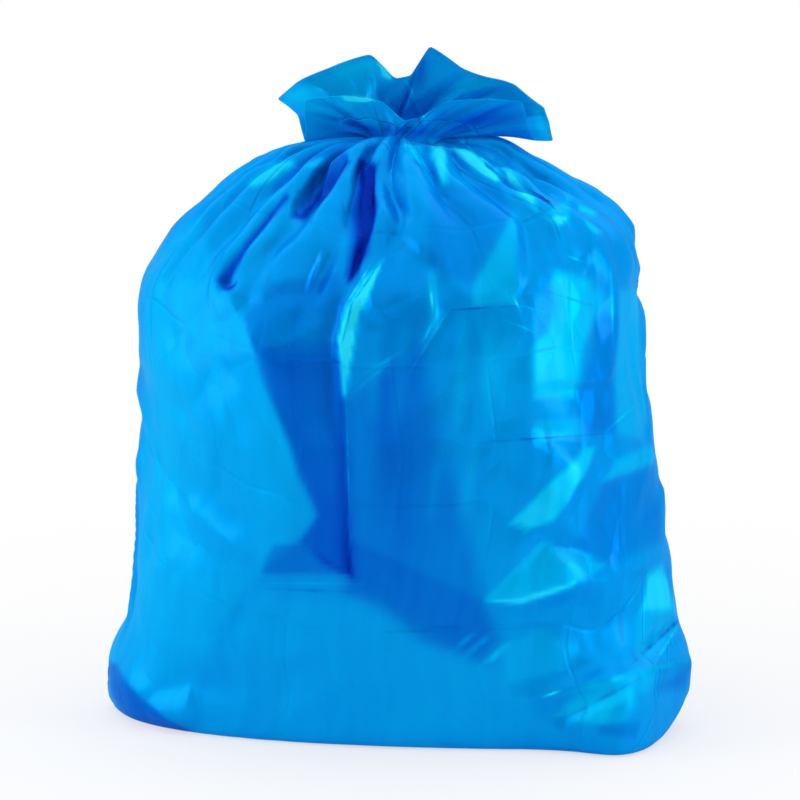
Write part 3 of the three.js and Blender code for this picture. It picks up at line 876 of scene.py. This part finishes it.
creaseShadeAndGlints = [  # painted shade and glints of thin creases of the front, as lines on the photograph: points, half width, tone
    (((451, 310), (515, 306)), 1.6, -0.6),
    (((515, 304), (545, 312)), 1.4, 0.4),
    (((549, 292), (593, 306)), 1.6, -0.6),
    (((485, 442), (603, 434)), 1.6, -0.5),
    (((603, 434), (637, 404)), 1.6, 0.5),
    (((346, 392), (350, 532)), 1.6, 0.35),
    (((449, 309), (411, 370)), 2.0, 0.45),
    (((611, 268), (613, 343)), 1.8, 0.6),
    (((452, 147), (475, 165), (499, 182)), 3.5, 0.9),
    (((456, 137), (511, 182)), 1.6, 0.8),
    (((503, 168), (527, 196)), 3.0, 0.9),
    (((575, 690), (640, 672), (690, 661)), 5.0, 0.3),
    (((570, 716), (637, 680)), 3.0, -0.5),
    (((448, 655), (480, 628)), 4.0, 0.3),
    (((636, 660), (682, 617)), 3.0, -0.8),
    (((380, 262), (352, 304), (343, 340)), 1.8, -0.7),
    (((372, 262), (346, 304)), 1.6, 0.9),
    (((267, 583), (357, 584)), 1.6, 0.35),
    (((272, 589), (352, 592)), 2.0, -0.3),
    (((463, 658), (494, 632)), 5.0, 0.4),
    (((480, 668), (510, 643)), 5.0, 0.45),
    (((543, 697), (562, 690)), 2.2, 0.7),
    (((655, 663), (678, 625)), 2.0, 0.6),
    (((340, 97), (356, 101), (371, 99)), 3.0, 0.9),
    (((376, 61), (391, 79)), 3.5, 0.9),
    (((406, 81), (413, 95)), 2.5, 0.8),
    (((417, 103), (426, 122)), 2.5, 0.7),
    (((408, 96), (422, 126)), 3.5, -0.5),
    (((389, 126), (419, 100)), 3.5, -0.5),
    (((316, 114), (371, 129)), 4.0, -0.5),
    (((310, 85), (334, 96)), 3.0, 0.4),
    (((327, 91), (339, 110)), 3.0, -0.4),
    (((429, 276), (434, 320), (423, 342)), 2.2, 0.6),
    (((368, 372), (401, 352)), 3.0, 0.3),
    (((357, 390), (388, 364)), 3.0, 0.35),
    (((512, 294), (521, 312)), 2.0, 0.7),
    (((505, 320), (532, 331)), 2.0, 0.5),
    (((565, 255), (584, 262)), 2.0, 0.5),
]


def dotNode(tree, value, direction):
    node = tree.nodes.new("ShaderNodeVectorMath")
    node.operation = "DOT_PRODUCT"
    tree.links.new(value, node.inputs[0])
    node.inputs[1].default_value = direction
    return node.outputs["Value"]


def photoNode(tree, coords):  # where the photograph shows a place of the film, as for the folds
    lift = math.radians(view["elevation"])
    offset = tree.nodes.new("ShaderNodeVectorMath")
    offset.operation = "SUBTRACT"
    tree.links.new(coords.outputs["Object"], offset.inputs[0])
    offset.inputs[1].default_value = view["aim"]
    away = dotNode(tree, offset.outputs[0], (0, math.cos(lift), -math.sin(lift)))
    scale = view["lens"] / view["sensor"] * view["pixels"]
    scale = mathNode(tree, "DIVIDE", scale, mathNode(tree, "ADD", away, view["distance"]))
    place = tree.nodes.new("ShaderNodeCombineXYZ")
    for axis, way in (("X", (1, 0, 0)), ("Y", (0, -math.sin(lift), -math.cos(lift)))):
        far = mathNode(tree, "MULTIPLY", dotNode(tree, offset.outputs[0], way), scale)
        tree.links.new(mathNode(tree, "ADD", far, view["pixels"] / 2), place.inputs[axis])
    return place.outputs[0]


def strokeNode(tree, place, start, end, half):  # one in the middle of a span, nothing at its edges
    laid = tree.nodes.new("ShaderNodeMapping")
    laid.vector_type = "TEXTURE"
    laid.inputs["Location"].default_value = ((start[0] + end[0]) / 2, (start[1] + end[1]) / 2, 0)
    laid.inputs["Rotation"].default_value = (0, 0, math.atan2(end[1] - start[1], end[0] - start[0]))
    laid.inputs["Scale"].default_value = (math.dist(start, end) * film["strokeReach"], half, 1)
    tree.links.new(place, laid.inputs["Vector"])
    stroke = tree.nodes.new("ShaderNodeTexGradient")
    stroke.gradient_type = "SPHERICAL"
    tree.links.new(laid.outputs["Vector"], stroke.inputs["Vector"])
    return stroke.outputs["Fac"]


# painted shade and glints along thin creases of the front
def creaseShadeNode(tree, coords):
    place = photoNode(tree, coords)
    ragged = noiseNode(tree, coords.outputs["Object"], *film["ragged"])
    total = 0.0
    for line, half, tone in creaseShadeAndGlints:
        for start, end in zip(line[:-1], line[1:]):
            stroke = strokeNode(tree, place, start, end, half)
            total = mathNode(tree, "MULTIPLY_ADD", stroke, tone * film["strokeGain"], total)
    geometry = tree.nodes.new("ShaderNodeNewGeometry")
    facing = dotNode(tree, geometry.outputs["True Normal"], (0, -1, 0))
    front = rangeNode(tree, facing, *film["strokeFacing"], 0, 1)
    shown = mathNode(tree, "MULTIPLY", rangeNode(tree, ragged, *film["raggedRange"]), front)
    return mathNode(tree, "MULTIPLY", total, shown)


def filmMaterial():
    material = bpy.data.materials.new("film")
    material.use_nodes = True
    tree = material.node_tree
    shader = tree.nodes["Principled BSDF"]
    coords = tree.nodes.new("ShaderNodeTexCoord")
    cloudy = noiseNode(tree, coords.outputs["Object"], *film["cloudCells"])
    creaseShade = creaseShadeNode(tree, coords)
    streaks = streakNode(tree, coords)
    tree.links.new(filmRelief(tree, coords, cloudy, streaks), shader.inputs["Normal"])
    # the tone attribute holds painted highlights and shade and paler and darker film
    tone = tree.nodes.new("ShaderNodeAttribute")
    tone.attribute_name = "tone"
    drift = mathNode(tree, "MULTIPLY", mathNode(tree, "SUBTRACT", cloudy, 0.5), film["cloud"])
    shade = mathNode(tree, "ADD", mathNode(tree, "ADD", tone.outputs["Fac"], drift), 1.0)
    grain = mathNode(tree, "MULTIPLY", mathNode(tree, "SUBTRACT", streaks, 0.5), film["grain"])
    shade = mathNode(tree, "ADD", mathNode(tree, "ADD", shade, creaseShade), grain)
    shade = mathNode(tree, "MULTIPLY", shade, 0.5)
    # painted shade and highlights, with the film's paler and darker parts, turned into colour
    ramp = tree.nodes.new("ShaderNodeValToRGB")
    ramp.color_ramp.elements[0].color = (*film["deepBlue"], 1)
    ramp.color_ramp.elements[1].color = (*film["glint"], 1)
    for stop, name in zip(film["stops"], ("darkBlue", "blue", "paleBlue")):
        ramp.color_ramp.elements.new(stop).color = (*film[name], 1)
    tree.links.new(shade, ramp.inputs["Fac"])
    tree.links.new(ramp.outputs["Color"], shader.inputs["Base Color"])
    rough = rangeNode(tree, cloudy, *film["cloudRange"], *film["roughness"])
    tree.links.new(rough, shader.inputs["Roughness"])
    shader.inputs["Metallic"].default_value = film["metal"]
    shader.inputs["Specular IOR Level"].default_value = 0.0
    shader.inputs["Specular Tint"].default_value = (*film["edge"], 1)
    shader.inputs["Coat Weight"].default_value = film["gloss"]
    shader.inputs["Coat Roughness"].default_value = film["glossRoughness"]
    shader.inputs["Coat IOR"].default_value = film["glossIndex"]
    return material


data.materials.append(filmMaterial())
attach(bag, "root")
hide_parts("trash_bag")
print("film coloured")

# Floor, light and camera
stage = {
    "floor": 12.0,
    "floorRoughness": 0.9,
    "white": 0.9,
    "ambient": 0.26,
    "fade": (0.5, 1.6),  # metres from the sack over which the floor turns to plain white
    "near": 0.6,  # how much of that white the floor has beside the sack
    "sky": 2.15,
    "skyAngle": 120,
    "room": (-0.2, 0.4),  # where reflections turn from the dim room before the sack to white behind it
    "lookAt": 0.33,
}
lamps = {  # azimuth in degrees, height, distance, width and tallness in metres, power in watts
    "left": (-76, 0.8, 2.6, 2.2, 1.7, 24),
    "right": (66, 0.75, 2.6, 0.9, 1.4, 18),
}


def whiteRays(tree):  # one where the camera, a reflection or a clear surface looks straight here
    rays = tree.nodes.new("ShaderNodeLightPath")
    glossy = mathNode(tree, "MAXIMUM", rays.outputs["Is Camera Ray"], rays.outputs["Is Glossy Ray"])
    return mathNode(tree, "MAXIMUM", glossy, rays.outputs["Is Transmission Ray"])


def floorMaterial():
    material = bpy.data.materials.new("floor")
    material.use_nodes = True
    tree = material.node_tree
    shader = tree.nodes["Principled BSDF"]
    shader.inputs["Base Color"].default_value = (stage["white"],) * 3 + (1,)
    shader.inputs["Roughness"].default_value = stage["floorRoughness"]
    coords = tree.nodes.new("ShaderNodeTexCoord")
    length = tree.nodes.new("ShaderNodeVectorMath")
    length.operation = "LENGTH"
    tree.links.new(coords.outputs["Object"], length.inputs[0])
    far = rangeNode(tree, length.outputs["Value"], *stage["fade"], stage["near"], 1.0)
    glow = tree.nodes.new("ShaderNodeEmission")
    blend = tree.nodes.new("ShaderNodeMixShader")
    tree.links.new(mathNode(tree, "MULTIPLY", far, whiteRays(tree)), blend.inputs[0])
    tree.links.new(shader.outputs[0], blend.inputs[1])
    tree.links.new(glow.outputs[0], blend.inputs[2])
    tree.links.new(blend.outputs[0], tree.nodes["Material Output"].inputs["Surface"])
    return material


mesh = bmesh.new()
bmesh.ops.create_grid(mesh, x_segments=1, y_segments=1, size=stage["floor"] / 2)
floorMesh = bpy.data.meshes.new("floor")
mesh.to_mesh(floorMesh)
mesh.free()
floor = bpy.data.objects.new("floor", floorMesh)
floorMesh.materials.append(floorMaterial())
scene.collection.objects.link(floor)

for name, (azimuth, height, distance, width, tall, power) in lamps.items():
    light = bpy.data.lights.new(name, "AREA")
    light.shape = "RECTANGLE"
    light.size, light.size_y = width, tall
    light.energy = power
    lamp = bpy.data.objects.new(name, light)
    turn = math.radians(azimuth)
    lamp.location = (distance * math.sin(turn), -distance * math.cos(turn), height)
    towards = lamp.location - Vector((0, 0, stage["lookAt"]))
    lamp.rotation_euler = towards.to_track_quat("Z", "Y").to_euler()
    scene.collection.objects.link(lamp)
light = bpy.data.lights.new("sky", "SUN")
light.energy = stage["sky"]
light.angle = math.radians(stage["skyAngle"])
scene.collection.objects.link(bpy.data.objects.new("sky", light))


def studioWorld():  # white where it is looked at, dimmer as light and in the room before the sack
    world = bpy.data.worlds.new("studio")
    world.use_nodes = True
    tree = world.node_tree
    coords = tree.nodes.new("ShaderNodeTexCoord")
    parts = tree.nodes.new("ShaderNodeSeparateXYZ")
    tree.links.new(coords.outputs["Generated"], parts.inputs["Vector"])
    rays = tree.nodes.new("ShaderNodeLightPath")
    behind = rangeNode(tree, parts.outputs["Y"], *stage["room"], 0, 1)
    mirrored = mathNode(tree, "MULTIPLY", rays.outputs["Is Glossy Ray"], behind)
    seen = mathNode(tree, "MAXIMUM", rays.outputs["Is Camera Ray"], rays.outputs["Is Transmission Ray"])
    level = tree.nodes.new("ShaderNodeMix")
    level.inputs["A"].default_value = stage["ambient"]
    level.inputs["B"].default_value = 1.0
    tree.links.new(mathNode(tree, "MAXIMUM", seen, mirrored), level.inputs["Factor"])
    tree.links.new(level.outputs["Result"], tree.nodes["Background"].inputs["Strength"])
    tree.nodes["Background"].inputs["Color"].default_value = (1, 1, 1, 1)
    return world


scene.world = studioWorld()

camera = bpy.data.objects.new("camera", bpy.data.cameras.new("camera"))
camera.data.lens = view["lens"]
camera.data.sensor_width = view["sensor"]
aim = Vector(view["aim"])
lift = math.radians(view["elevation"])
camera.location = aim + view["distance"] * Vector((0, -math.cos(lift), math.sin(lift)))
camera.rotation_euler = (aim - camera.location).to_track_quat("-Z", "Y").to_euler()
scene.collection.objects.link(camera)
scene.camera = camera
scene.view_settings.view_transform = "Standard"
print("stage set")
